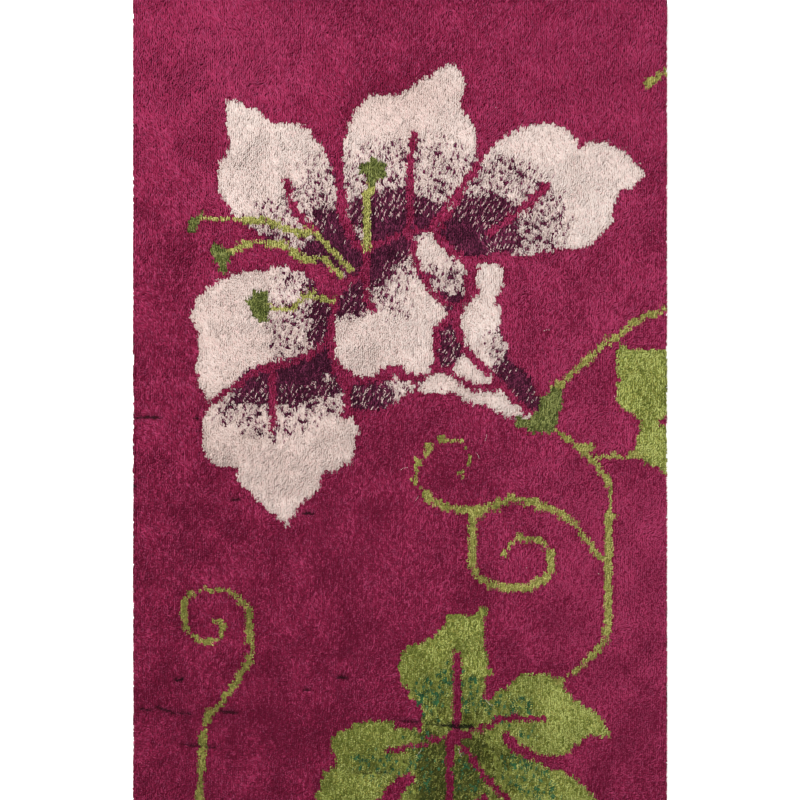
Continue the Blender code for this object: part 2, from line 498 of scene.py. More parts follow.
# Vines and tendrils: the knots of a run and, as the third number, how many lie side by side. The weaver's
# steps thin out to a single knot between the runs, or part altogether.
VINES = [
    # From the calyx up to the right edge.
    [(108.4, 106.6, 2), (109.6, 106.8, 2), (110.6, 108.4, 1.1), (112.6, 110, 1.7), (114.4, 111.8, 1.1),
     (116.2, 113.4, 1.9), (118.4, 115, 1.2), (120, 116.4, 1), (121.9, 117.9, 1.8), (124.3, 119, 1.9),
     (126.1, 120.5, 1.4), (128, 122.2, 1.7), (131.4, 124.4, 1.5), (138, 127, 1.6)],
    # Down from the calyx, round a small gap, and down the right side to the leaf.
    [(108.7, 95.2, 1.2), (109.9, 94.4, 1), (111.8, 93, 1.9), (113.4, 91.8, 1.1), (115, 91.1, 1.9),
     (117.8, 91.1, 1.5)],
    [(114.9, 90.3, 1.6), (116.4, 89, 1.3), (117.7, 87.5, 1.6), (119.1, 86.1, 1.3), (120.1, 84.5, 1.5),
     (121.6, 83.2, 1.4), (122.3, 81, 1.7), (122.5, 78, 1.6), (122.5, 75.6, 1.8), (122.4, 73, 2.2),
     (122.2, 70, 1.6), (122, 66.6, 1.8), (121.9, 64.4, 1.2), (121.9, 61, 2.0), (122.1, 57.6, 2.7),
     (122, 52, 2.7), (121.8, 49.6, 1.7), (121.7, 46.4, 2.0), (121.6, 44, 2.3), (121.2, 42, 1.6),
     (120, 40.5, 1.5), (118.3, 38.3, 1.7), (116.2, 36.5, 1.5), (115, 35.1, 0.8), (112.8, 33.7, 1.5),
     (111, 32, 0.9), (108.4, 30.8, 1.4)],
    [(118.4, 88.6, 1.3), (120.4, 88.6, 1.5), (123.4, 88.8, 1.5), (125.4, 88.7, 0.9),
     (127.2, 88.8, 1.6), (130, 88.9, 1.5)],
    # A tip at the right edge.
    [(131.6, 183.6, 1.8), (133.9, 185.8, 1.5), (138, 187.6, 1.8)],
    # The first tendril, off the vine at the right, and its curl.
    [(120.5, 62.3, 1.2), (118.5, 64.3, 1.3), (116.7, 66.6, 1.6), (115, 68.6, 1.5), (114.2, 70.2, 0.8),
     (112.6, 72, 1.1), (110.3, 73.7, 2.1), (108, 74.8, 1.6), (105.6, 75.7, 1.6), (103.8, 76.3, 2.2),
     (101.4, 77, 1.9), (99.3, 77.2, 1.1), (97, 77.8, 1.8), (95.4, 77, 1.1), (93.4, 76.4, 2.3),
     (91.6, 75.9, 1.7), (90, 75.1, 2), (88, 74.3, 2.7), (85.2, 75, 1.6), (81, 75.6, 1.7),
     (78.4, 77, 1.8), (75.4, 78.6, 1.8), (73.9, 80.4, 0.9), (72.4, 81.8, 1.7), (72.6, 85, 1.7),
     (72.7, 87.6, 1.9)],
    [(75, 89.7, 1.6), (76.4, 91.6, 1.7)],
    [(78.6, 93.1, 1.9), (79.4, 92.7, 1.5), (80.8, 92.3, 0.9), (82.4, 92.4, 1), (84, 92.6, 1.7)],
    [(85.1, 90.7, 1.1), (86, 89.9, 1.1)],
    [(86.6, 88.6, 1.6), (86.6, 87.2, 1.6), (86.6, 86.2, 1.2)],
    [(83.9, 84.4, 1.9), (84.3, 84.4, 1.9)],
    # The second, off the first.
    [(87.2, 72.4, 1.9), (86.8, 69.5, 1.8), (87, 66, 1.9), (87.3, 60.4, 1.9), (88.3, 58.6, 1.6),
     (90, 56.8, 1.8), (92.4, 56.1, 1.9), (94.4, 55.2, 1.7), (98.4, 54.7, 1.9), (101.6, 55.1, 1.9),
     (103.4, 56.6, 2), (105.6, 57.6, 1.7), (106.8, 60, 1.8), (106.9, 64.4, 1.7)],
    [(105.4, 66.3, 1.7), (103.2, 67.3, 1.7), (100.4, 67.6, 1.8), (98.6, 68, 1.4)],
    [(97.3, 66.1, 1.2), (96.2, 65.8, 1.2)],
    [(95.7, 64.7, 1.1), (95, 63.8, 1.2)],
    # The long one at the left.
    [(19.4, 47, 0.8), (20.6, 46.8, 1.4), (22, 46.4, 1.5), (23.1, 44.6, 1.5), (22.1, 42.5, 1.0),
     (21.2, 41.6, 1.0), (19, 41.1, 1.4), (16, 42.2, 1.2), (14, 44.5, 1.1), (13.2, 47, 1.3),
     (13.2, 51.3, 1.6), (14.5, 53.2, 1.0), (16.7, 54.1, 0.8), (19, 54.7, 1.2), (23.4, 54.6, 1.2),
     (25.7, 53.5, 1.3), (28.4, 51.5, 1.4), (29.9, 49.5, 1.5), (30.1, 46.4, 1.2), (30, 43, 1.3),
     (30.4, 38.4, 1.6), (29.1, 35, 1.6), (27.1, 32.4, 1.7), (25.5, 29.3, 1.9), (23.4, 26.4, 1.5),
     (22.2, 24.8, 1.4), (20.7, 23.3, 1.4), (18.9, 22, 1.7), (18.3, 15, 2.0), (18.2, 12.6, 1.4),
     (17.9, 9.2, 1.5), (17.7, 6.6, 1.3), (17.3, 4, 1.5), (17.2, -1, 1.6)],
]

# The lobed leaf at the bottom runs on past the cut, and so does the one at the right.
LEAFLETS = [
    dict(
        root=(81, 14),
        tip=(89.5, 50.2),
        bend=-1,
        left=[(0.05, 8), (0.2, 9.6), (0.3, 14.2), (0.4, 17.4), (0.53, 18.2), (0.61, 17.9), (0.7, 12.8),
              (0.78, 10.1), (0.86, 8.8), (0.91, 8), (0.935, 2.2)],
        right=[(0.05, 7), (0.3, 6), (0.39, 5.2), (0.5, 4), (0.56, 4.9), (0.67, 3.5), (0.8, 1.3),
               (0.93, 0.7), (0.97, 1.8)],
    ),
    dict(
        root=(86, 18),
        tip=(122, 17.6),
        bend=-1.5,
        left=[(0.05, 7.4), (0.15, 9.9), (0.25, 13.4), (0.37, 16.5), (0.54, 16.5), (0.66, 15.1),
              (0.7, 12.9), (0.77, 9.9), (0.88, 7.3), (0.96, 4.3)],
        right=[(0.1, 4), (0.3, 1), (0.42, 2.2), (0.54, 4.3), (0.68, 3.9), (0.79, 1.3), (0.88, 0),
               (0.97, 1)],
    ),
    dict(
        root=(81, 14),
        tip=(45, -1),
        bend=-2,
        left=[(0.1, 6), (0.27, 4.9), (0.36, 4.2), (0.46, 6), (0.56, 7.2), (0.8, 6), (0.95, 3)],
        right=[(0.1, 5.4), (0.21, 6.8), (0.29, 8.7), (0.31, 10.7), (0.45, 12.5), (0.6, 12.7),
               (0.68, 11), (0.71, 5.9), (0.83, 4.4), (0.93, 0.6)],
    ),
    dict(
        root=(84, 14),
        tip=(121, -5),
        bend=0,
        left=[(0.1, 8), (0.22, 7), (0.3, 5.1), (0.42, 5.3), (0.52, 5.7), (0.6, 6), (0.67, 6.6),
              (0.77, 5.5), (0.9, 3.5)],
        right=[(0.1, 5), (0.4, 8), (0.8, 5)],
    ),
]
LEAF_HEART = [(72.4, 6.4), (73, 17), (84, 22), (94, 22), (97, 12), (102, 8), (104, -3), (68.5, -3),
              (69.4, 2.4)]
RIGHT_LEAF = [
    (126, 116.8), (124.2, 115.6), (124, 111), (124.6, 108.6), (123.8, 106), (124, 102.2), (126.8, 100),
    (129.6, 98), (129.4, 93.6), (128.9, 91.6), (130.4, 87.8), (133.6, 86.2), (138, 84.6), (140, 100),
    (138, 114.8), (133.6, 116.2), (130.4, 116.2), (127.6, 115.8),
]
LEAF_VEINS = [
    ([(83, 38.4), (83, 24)], 1.7, 1.6),
    ([(83, 25), (82.8, 20), (82.4, 16)], 1.6, 1.9),
    ([(82.2, 17.4), (81, 15), (80.7, 9), (80.8, -1)], 2, 1.7),
    ([(82.5, 16.9), (86.4, 16.9)], 1.6, 1.3),
    ([(87, 18.6), (89.6, 19), (93.4, 20.4)], 1.2, 1.2),
    ([(93.8, 21.8), (100, 21.8), (105.2, 21.3)], 1.2, 1.1),
    ([(81, 16.1), (76, 16.2)], 1.5, 1.4),
    ([(75.2, 14.8), (70.6, 14.3)], 1.4, 1.4),
    ([(69.4, 13.9), (66, 13.7)], 1.2, 1.2),
    ([(83.8, 15.2), (87.5, 10.4), (91.1, 5.2), (95.4, 1), (97.4, -1)], 1.4, 1.5),
    ([(95.9, 16.6), (99.5, 13.8), (105.8, 10.7), (108.6, 10.2)], 2.4, 1.3),
    ([(70.2, 6.2), (67.3, 4), (63.8, -1)], 2.4, 3.1),
    ([(87.6, 0.5), (90.4, 0.5)], 2, 2),
    ([(136.2, 97.8), (138, 97.8)], 1.6, 1.6),
]
TEAL_SPOTS = [
    ([(75.4, 27.6), (80.5, 31)], 1, 5.6, 0.42),
    ([(84.4, 30.6), (88, 30.6)], 0.2, 3, 0.4),
    ([(86.5, 26), (93, 24.6), (99, 24.8)], 0.5, 4.4, 0.42),
    ([(60, 9.8), (69, 8), (73, 10)], 0.3, 5, 0.32),
    ([(76.5, 21.5), (72, 17.8)], 0, 3.4, 0.32),
    ([(98.5, 18.6), (101, 17.6)], 0, 3, 0.3),
    ([(99, 9), (103, 4), (104.5, 0)], 1, 6, 0.4),
    ([(84, 9), (87, 3)], 0, 5, 0.3),
    ([(75, 4), (77, 9)], 0, 4, 0.3),
]
MOSS_SPOTS = [
    ([(77, 13), (77, 3)], 3, 8.5, 0.63),
    ([(86, 16), (89.4, 12.4)], 0.8, 6, 0.6),
    ([(85, 9), (84, 1)], 2, 6, 0.68),
    ([(93, 11), (91, 3)], 1, 7.5, 0.5),
    ([(78.5, 22), (85.5, 22)], 0.5, 6, 0.5),
]


def draw_leaves():
    teal_scatter = even_scatter(31)
    moss_scatter = even_scatter(32)
    areas = np.zeros(COLUMN.shape, dtype=bool)
    for leaflet in LEAFLETS:
        areas |= within(blade(**leaflet))
    areas |= within(through(LEAF_HEART, 3, closed=True))
    chart[areas] = LEAF
    speckle(areas, MOSS, LEAF, MOSS_SPOTS, moss_scatter)
    speckle(areas, TEAL, LEAF, TEAL_SPOTS, teal_scatter)
    chart[within(through(RIGHT_LEAF, 4, closed=True))] = LEAF
    for points, width, end_width in LEAF_VEINS:
        even_stroke(points, width, RASPBERRY, end_width)


def draw_flower():
    scatter = even_scatter(41)
    for petal in PETALS:
        outline = {key: petal[key] for key in ("root", "tip", "bend", "left", "right")}
        area = within(blade(**outline))
        chart[area] = BLUSH
        speckle(area, PLUM, BLUSH, petal["plum"], scatter)
    patches = [
        (THROAT, THROAT_PLUM),
        (FRONT_PETAL, FRONT_PLUM),
        (CORNER, CORNER_PLUM),
        (WEDGE, WEDGE_PLUM),
        (TEAR, []),
        (LOWER_STRIP, STRIP_PLUM),
    ]
    for outline, plum in patches:
        area = within(through(outline, 5, closed=True))
        chart[area] = BLUSH
        speckle(area, PLUM, BLUSH, plum, scatter)
    for points, width in GROUND_LINES:
        even_stroke(points, width, RASPBERRY)
    (x, y), radius = GROUND_BLOT
    chart[np.hypot(COLUMN - x, ROW - y) < radius] = RASPBERRY


def draw_greenery():
    for points in VINES:
        stroke(points, VINE)
    for points in STAMENS:
        stroke(points, LIME)
    for outline in [*ANTHERS, CALYX]:
        chart[within(np.array(outline, dtype=float))] = SAP


draw_leaves()
draw_flower()
draw_greenery()
# Streaks that a line or another yarn has covered since don't show.
for yarn, mask in streaks.items():
    among = (BLUSH, PLUM) if yarn in (BLUSH, PLUM) else (LEAF, MOSS)
    mask &= np.isin(chart, among) & (chart != yarn)

# --------------------------------------------------------------------------------------------------------
# The pile's surface and how it lies


def bell(distance, reach):
    return np.exp(-((distance / reach) ** 2))


def pile_top(x, y):
    """Height of the pile's surface: the solid's own, with its swells and partings."""
    height = np.full(np.shape(x), THICKNESS)
    for across, along, reach, depth in SWELLS:
        height -= depth * bell(np.hypot(x - across * WIDTH / 2, y - along * LENGTH / 2), reach)
    for across, along, half_length, slope, depth in PARTINGS:
        dx = x - across
        height -= depth * bell(dx, half_length) * bell(y - along - slope * dx, PARTING_REACH)
    return height


# Lines along which the pile has opened to its roots: place in metres, half length, slope, how far open.
CREASES = [
    (0.0499, -0.2845, 0.0158, -0.07, 1.55),
    (0.0280, -0.2823, 0.0080, -0.10, 0.6),
    (0.0080, -0.2796, 0.0110, -0.10, 0.65),
    (-0.1750, -0.3014, 0.020, -0.12, 0.58),
    (-0.2220, -0.2695, 0.008, -0.05, 0.55),
    (-0.2045, -0.2700, 0.010, -0.33, 0.8),
    (-0.1880, -0.2733, 0.008, -0.10, 0.58),
    (-0.1497, -0.2717, 0.009, -0.12, 0.8),
    (-0.1925, -0.2434, 0.005, 0.0, 1.0),
    (-0.0245, -0.3248, 0.020, 0.0, 0.55),
    (-0.0503, -0.2417, 0.006, 0.0, 0.9),
    (-0.0810, -0.2518, 0.004, 0.0, 0.8),
    (-0.0801, -0.0985, 0.006, -0.05, 0.9),
    (-0.1431, -0.0862, 0.006, -0.05, 0.6),
    (-0.2197, -0.0149, 0.014, 0.0, 0.75),
    (-0.1769, -0.0158, 0.0018, 0.0, 0.9),
    (-0.2320, -0.0744, 0.003, 0.0, 0.8),
]
# Within a crease's gap the locks stand low, are pressed wide and are painted black: painted shade that
# covers the roots. The ends at its edge get a painted shadow, and the feet further out too, where the locks
# lean over it less. Its line strays by the last: how far, over what length, and its seed.
CREASE_DEPTH = 0.0022
CREASE_GAP = 0.0011
CREASE_EDGE = 0.0012
CREASE_REACH = 0.0026
CREASE_EDGE_SHADOW = 0.55
CREASE_UPRIGHTNESS = 0.75
GAP_FULLNESS = 2.4
OPEN_LIMIT = 0.4
CREASE_STRAYING = (0.0016, 0.006, 71)


def opened(x, y, reach):
    """How far the pile has opened at a point, seen over a reach to both sides of each crease."""
    most = np.zeros(np.shape(x))
    for across, along, half_length, slope, how_far in CREASES:
        dx = x - across
        dy = y - along - slope * dx - straying(x, y, *CREASE_STRAYING)
        most = np.maximum(most, how_far * np.exp(-((dx / half_length) ** 4)) * bell(dy, reach))
    return np.minimum(most, 1)


# Broad light and dark places: painted light and shade where the pile lies another way and catches the light
# differently and where the light falls off along the top, and real tone where the dye lot changes. Place in
# shares of the half width and half length, reach across and along in metres, and how much lighter it is.
SHADES = [
    (-0.7, 0.85, 0.14, 0.1, 0.22),
    (0.75, 0.75, 0.14, 0.14, 0.10),
    (0.92, -0.36, 0.11, 0.18, 0.68),
    (0.65, 0.3, 0.08, 0.08, 0.12),
    (0.95, -0.01, 0.035, 0.055, -0.34),
    (-0.15, -0.42, 0.06, 0.05, 0.08),
    (0.0, 0.74, 0.05, 0.035, -0.5),
    (0.0, 1.02, 0.3, 0.02, -0.14),
    (-0.8, 0.02, 0.12, 0.12, -0.20),
    (-0.5, -0.6, 0.16, 0.22, -0.26),
    (0.2, -0.92, 0.17, 0.07, 0.10),
    (0.21, -0.93, 0.042, 0.04, -0.30),
]
# Where the pile lies calmer, its locks differing less: the same places and reaches, and how much calmer.
CALM = [
    (-0.75, 0.85, 0.15, 0.13, 0.74),
    (0.75, 0.8, 0.15, 0.13, 0.64),
    (-0.75, -0.95, 0.12, 0.08, 0.35),
]
LIVELIEST = 1.75
# The cloth's own unevenness: how strong, how broad and its seed. The bands are drawn out along the weft.
PATCHES = (0.14, 0.05, 61)
SMALL_PATCHES = (0.1, 0.016, 62)
WEFT_BANDS = (0.16, 0.011, 63)
WEFT_STRETCH = 0.15


def patch(x, y, across, along, reach_x, reach_y):
    """1 in the middle of a soft patch, falling to nothing outside it."""
    dx = (x - across * WIDTH / 2) / reach_x
    dy = (y - along * LENGTH / 2) / reach_y
    return np.exp(-(dx * dx + dy * dy))


def liveliness(x, y):
    """How much the locks' tones differ at a point."""
    share = np.full(np.shape(x), LIVELIEST)
    for across, along, reach_x, reach_y, amount in CALM:
        share *= 1 - amount * patch(x, y, across, along, reach_x, reach_y)
    return share


def shade(x, y):
    """How much lighter or darker than its yarn the cloth is at a point, with painted light and shade among
    it.
    """
    total = straying(x, y, *PATCHES) + straying(x, y, *SMALL_PATCHES)
    total += straying(x * WEFT_STRETCH, y, *WEFT_BANDS)
    for across, along, reach_x, reach_y, amount in SHADES:
        total += amount * patch(x, y, across, along, reach_x, reach_y)
    return total


# How much knots and locks turn aside, in radians, how much more a lone knot does, how far a lock strays
# along its end, in knots, and how much the tones of ends and locks differ.
KNOT_TURNS = 0.42
LOCK_TURNS = 0.25
LONE_TURNS_MORE = 0.7
LOCK_STRAYING = 0.3
END_TONES = 0.19
LOCK_TONES = 0.17
# Which way the pile lies strays over the cloth, broadly and finely, and so does how far it leans.
BROAD_LEAN = (1.2, 0.03, 51)
FINE_LEAN = (1.3, 0.010, 52)
LEAN_PATCHES = (0.02, 53)
# Shares of a lock's full reach, thickness or shortfall, as the least and how much more it may be.
LEAN_OVER_CLOTH = (0.6, 0.8)
LEAN_OF_LOCK = (0.7, 0.6)
THICKNESS_OF_LOCK = (0.75, 0.5)
SHORTFALL_WHERE_LIVELY = (0.1, 0.6)
# How much of a tip's shortfall is the lock's own and how much its end's. Most locks fall little short.
LOCKS_SHORTFALL = 0.65
ENDS_SHORTFALL = 0.35
MOSTLY_LITTLE = 1.4

# How each knot lies, how far one end is turned behind the other, and each end's own tone and height.
rng = np.random.default_rng(20)
ENDS = (*COLUMN.shape, 2)
KNOT_TURN = rng.normal(0, KNOT_TURNS, COLUMN.shape)
KNOT_TWIST = rng.normal(0, 1, COLUMN.shape)
END_TONE = rng.normal(0, END_TONES, ENDS)
END_LIFT = rng.random(ENDS)
# A knot alone among knots of other yarns is overlain by their ends, and stands lower. It is lighter by the
# lightening, or as the tone for its yarn says. Some yarns' locks are also in painted shadow there, take
# more of their tint (on blush, painted light thrown on it by the pile round it), are slimmer or lean aside.
# Beside another yarn every lock stands more upright.
BURIED = 0.0003
LONE_LIGHTENING = 0.3
LONE_TONES = {"blush": -0.3, "vine": -0.1, "lime": -0.1, "leaf": -0.1, "teal": 0.15}
LONE_SHADOW = {"blush": 0.12}
LONE_TINT = {"blush": 1.0, "plum": 0.95}
LONE_SLIMNESS = {"blush": 0.45, "plum": 0.1}
LONE_LEAN = {"blush": 0.6, "plum": 0.3}
EDGE_UPRIGHTNESS = 0.3
# Streaks and other single ends: how many locks each has, how far they are gathered into a line, how far
# that slants, how thick they are, how far they stand up and how much lighter some are than elsewhere.
STREAK_LOCKS = 3
STREAK_GATHER = 0.6
STREAK_SLANT = 0.5
STREAK_FULLNESS = {"blush": 0.65, "leaf": 0.65, "plum": 1.15}
OTHER_STREAK_FULLNESS = 0.9
STREAK_LIFTS = {"blush": 0.0003, "leaf": 0.0003, "plum": 0.0011}
OTHER_STREAK_LIFT = 0.0008
STREAK_TONES = {"blush": -0.6, "plum": 0.35}
# How uneven the heights of some yarns' tips are, and their tones. The others are 1.
TIP_UNEVENNESS = {"blush": 0.35}
TONE_SPREAD = {"blush": 0.3, "leaf": 1.15, "moss": 1.4, "vine": 1.05, "lime": 1.05, "sap": 1.1}


def ranging(share, least, more):
    """From the least, at a share of 0, to as much more, at 1."""
    return least + more * share


def tuft_room():
    """How far each knot's tuft spreads to its left, right, lower and upper side, and how alone it is."""
    towards = ((1, 1), (-1, 1), (1, 0), (-1, 0))
    alone = sum(0.25 * (np.roll(chart, shift, axis) != chart) for shift, axis in towards)
    full = np.array([FULLNESS.get(yarn, 1.0) for yarn in YARNS])[chart] * (1 - PRESSED * alone**2)
    sides = []
    for shift, axis in towards:
        reach = full / (full + np.roll(full, shift, axis))
        if axis == 0:
            reach = 0.5 * (reach + 0.5)
        sides.append(reach)
    return sides, alone


ROOM, ALONE = tuft_room()
# Knots beside another yarn aren't quite in line, the others nearly, and the rows and columns stray.
OUT_OF_PLACE = 0.19 * (0.2 + 0.8 * (ALONE > 0))
COLUMN_STRAYING = (0.3, 9, 18)
ROW_STRAYING = (0.3, 9, 19)
KNOT_X = COLUMN + OUT_OF_PLACE * rng.normal(0, 1, COLUMN.shape) + straying(COLUMN, ROW, *COLUMN_STRAYING)
KNOT_Y = ROW + OUT_OF_PLACE * rng.normal(0, 1, COLUMN.shape) + straying(COLUMN, ROW, *ROW_STRAYING)


def grow_locks(yarn, cells, per_end, seed):
    """The locks of the given knots: where each is rooted, where it ends, how thick it is and its tone."""
    rng = np.random.default_rng(seed)
    spread = TONE_SPREAD.get(yarn, 1.0)
    knots = int(cells.sum())
    shape = (knots, 2, per_end)
    end = np.array([-0.5, 0.5])[None, :, None]
    step = (np.arange(per_end) + 0.5) / per_end - 0.5
    across = 0.5 + ENDS_APART * end + END_WIDTH * (rng.random(shape) - 0.5)
    along = 0.5 + END_TWIST * end * KNOT_TWIST[cells][:, None, None] + END_LENGTH * step
    along = along + LOCK_STRAYING * (rng.random(shape) - 0.5)
    left, right, below, above = (reach[cells][:, None, None] for reach in ROOM)
    x = LOW.x + KNOT * (KNOT_X[cells][:, None, None] - left + (left + right) * across).ravel()
    y = LOW.y + KNOT * (KNOT_Y[cells][:, None, None] - below + (below + above) * along).ravel()
    alone = np.repeat(ALONE[cells], 2 * per_end)

    heading = math.pi / 2 + np.repeat(KNOT_TURN[cells], 2 * per_end) * (1 + LONE_TURNS_MORE * alone)
    heading += rng.normal(0, LOCK_TURNS, x.size)
    heading += straying(x, y, *BROAD_LEAN) + straying(x, y, *FINE_LEAN)
    heading -= LONE_LEAN.get(yarn, 0.0) * alone**2
    reach = LOCK_REACH * ranging(drift(x, y, *LEAN_PATCHES), *LEAN_OVER_CLOTH)
    reach *= ranging(rng.random(x.size), *LEAN_OF_LOCK)
    reach *= 1 - EDGE_UPRIGHTNESS * (alone > 0)
    lean_x = np.cos(heading) * reach
    lean_y = np.sin(heading) * reach * (1 - CREASE_UPRIGHTNESS * opened(x, y, CREASE_REACH))

    lively = liveliness(x, y)
    lock_drop = LOCKS_SHORTFALL * rng.random(x.size) ** MOSTLY_LITTLE
    drop = TIP_SHORTFALL * (lock_drop + ENDS_SHORTFALL * np.repeat(END_LIFT[cells].ravel(), per_end))
    drop *= TIP_UNEVENNESS.get(yarn, 1.0) * ranging(lively, *SHORTFALL_WHERE_LIVELY)
    top = pile_top(x, y) - drop - BURIED * alone**2
    tone = np.repeat(END_TONE[cells].ravel(), per_end) + rng.normal(0, LOCK_TONES, x.size)
    tone = 0.5 + spread * lively * tone + shade(x, y) + LONE_TONES.get(yarn, LONE_LIGHTENING) * alone**1.5
    foot = np.stack([x - FOOT_SHARE * lean_x, y - FOOT_SHARE * lean_y, top - LOCK_HEIGHT], 1)
    tip = np.stack([x + (1 - FOOT_SHARE) * lean_x, y + (1 - FOOT_SHARE) * lean_y, top], 1)
    in_gap = opened(*tip[:, :2].T, CREASE_GAP) > OPEN_LIMIT
    tip[in_gap, 2] -= CREASE_DEPTH
    half_width = LOCK_HALF_WIDTH * LOCK_FULLNESS.get(yarn, 1.0)
    half_width = half_width * ranging(rng.random(x.size), *THICKNESS_OF_LOCK)
    half_width *= 1 - LONE_SLIMNESS.get(yarn, 0.0) * alone**2
    half_width[in_gap] *= GAP_FULLNESS
    # Painted shadow on the ends at a crease's edge and on lone knots, painted black for locks in its gap,
    # and painted shade on the feet near a crease.
    edge_shadow = CREASE_EDGE_SHADOW * opened(*tip[:, :2].T, CREASE_EDGE)
    tip_painted_shade = np.maximum(edge_shadow, LONE_SHADOW.get(yarn, 0.0) * alone**2)
    locks = dict(
        foot=foot,
        tip=tip,
        foot_painted_shade=opened(*foot[:, :2].T, CREASE_REACH),
        tip_painted_shade=np.where(in_gap, 1.0, tip_painted_shade),
        half_width=half_width,
        turn=2 * math.pi * rng.random(x.size),
        tone=tone,
        tint=np.maximum(rng.random(x.size), LONE_TINT.get(yarn, 0.0) * alone**1.5),
    )
    return locks


RIM_TIP_DROP = 0.0004
RIM_FOOT_HEIGHT = 0.0004
RIM_LEAN = 0.0006
RIM_FULLNESS = 0.95


def grow_rim_locks(yarn, cells, seed):
    """Longer, upright locks round the cut edge, down to the foundation, so the pile shows from the side."""
    locks = grow_locks(yarn, cells, RIM_LOCKS_PER_END, seed)
    tip = locks["tip"]
    foot = locks["foot"]
    tip[:, :2] = 0.5 * (tip[:, :2] + foot[:, :2])
    tip[:, 2] -= RIM_TIP_DROP
    foot[:, :2] = tip[:, :2] - RIM_LEAN * (tip[:, :2] - foot[:, :2]) / KNOT
    foot[:, 2] = FOUNDATION + RIM_FOOT_HEIGHT
    locks["half_width"] *= RIM_FULLNESS
    return locks


def grow_streaks(yarn, cells, seed):
    """Single ends of one yarn among knots of another: slim, slanting and half hidden."""
    locks = grow_locks(yarn, cells, STREAK_LOCKS, seed)
    rng = np.random.default_rng(seed)
    knots = int(cells.sum())
    first = np.repeat(rng.random(knots) < 0.5, STREAK_LOCKS).reshape(knots, 1, STREAK_LOCKS)
    kept = np.concatenate([first, ~first], 1).ravel()
    locks = {key: values[kept] for key, values in locks.items()}
    middles = locks["tip"].reshape(knots, STREAK_LOCKS, 3).mean(1)
    aside = np.repeat(middles, STREAK_LOCKS, 0) - locks["tip"]
    for part in ("foot", "tip"):
        locks[part][:, 0] += STREAK_GATHER * aside[:, 0] - STREAK_SLANT * aside[:, 1]
    locks["half_width"] *= STREAK_FULLNESS.get(yarn, OTHER_STREAK_FULLNESS)
    locks["tip"][:, 2] += STREAK_LIFTS.get(yarn, OTHER_STREAK_LIFT)
    # Streaks take their full tint; on blush it is painted light thrown on them by the pile round them.
    if yarn in LONE_TINT:
        locks["tint"][:] = 1
    locks["tone"] += STREAK_TONES.get(yarn, 0.0)
    return locks


def joined(sets):
    return {key: np.concatenate([locks[key] for locks in sets]) for key in sets[0]}


# --------------------------------------------------------------------------------------------------------
# Meshes


def add_piece(name, mesh, material):
    mesh.materials.append(material)
    piece = bpy.data.objects.new(name, mesh)
    bpy.context.scene.collection.objects.link(piece)
    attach(piece, "root")
    return piece


def lay_flat(mesh):
    """Gives the mesh a map straight from above, so that finishes worked out for the whole cloth fit it."""
    places = np.empty(len(mesh.vertices) * 3, dtype=np.float32)
    mesh.vertices.foreach_get("co", places)
    corners = np.empty(len(mesh.loops), dtype=np.int32)
    mesh.loops.foreach_get("vertex_index", corners)
    flat = places.reshape(-1, 3)[corners, :2]
    flat = (flat - np.array([LOW.x, LOW.y])) / np.array([WIDTH, LENGTH])
    layer = mesh.uv_layers.new(name="OFBake")
    layer.data.foreach_set("uv", flat.astype(np.float32).ravel())


def spikes(name, locks):
    """One mesh of three-sided spikes, cut off straight at the rug's sides."""
    count = len(locks["turn"])
    sides = 3
    verts = np.empty((count, sides + 1, 3))
    for side in range(sides):
        angle = locks["turn"] + side * 2 * math.pi / sides
        verts[:, side, 0] = locks["foot"][:, 0] + np.cos(angle) * locks["half_width"]
        verts[:, side, 1] = locks["foot"][:, 1] + np.sin(angle) * locks["half_width"]
        verts[:, side, 2] = locks["foot"][:, 2]
    verts[:, sides] = locks["tip"]
    verts[:, :, 0] = np.clip(verts[:, :, 0], LOW.x, HIGH.x)
    verts[:, :, 1] = np.clip(verts[:, :, 1], LOW.y, HIGH.y)
    around = np.array([[side, (side + 1) % sides, sides] for side in range(sides)])
    faces = (around[None] + (np.arange(count) * (sides + 1))[:, None, None]).reshape(-1, 3)

    mesh = bpy.data.meshes.new(name)
    mesh.vertices.add(count * (sides + 1))
    mesh.vertices.foreach_set("co", verts.astype(np.float32).ravel())
    mesh.loops.add(faces.size)
    mesh.loops.foreach_set("vertex_index", faces.astype(np.int32).ravel())
    mesh.polygons.add(len(faces))
    mesh.polygons.foreach_set("loop_start", np.arange(0, faces.size, 3, dtype=np.int32))
    mesh.polygons.foreach_set("use_smooth", np.ones(len(faces), dtype=bool))
    mesh.update(calc_edges=True)
    per_vertex = {
        "height": np.tile(np.array([0.0] * sides + [1.0]), count),
        "tone": np.repeat(locks["tone"], sides + 1),
        "tint": np.repeat(locks["tint"], sides + 1),
        # Painted shade, from the feet to the tips: darker in partings and on lone knots.
        "deep": np.stack([locks["foot_painted_shade"]] * sides + [locks["tip_painted_shade"]], 1).ravel(),
    }
    for key, values in per_vertex.items():
        mesh.attributes.new(key, "FLOAT", "POINT").data.foreach_set("value", values.astype(np.float32))
    lay_flat(mesh)
    return mesh


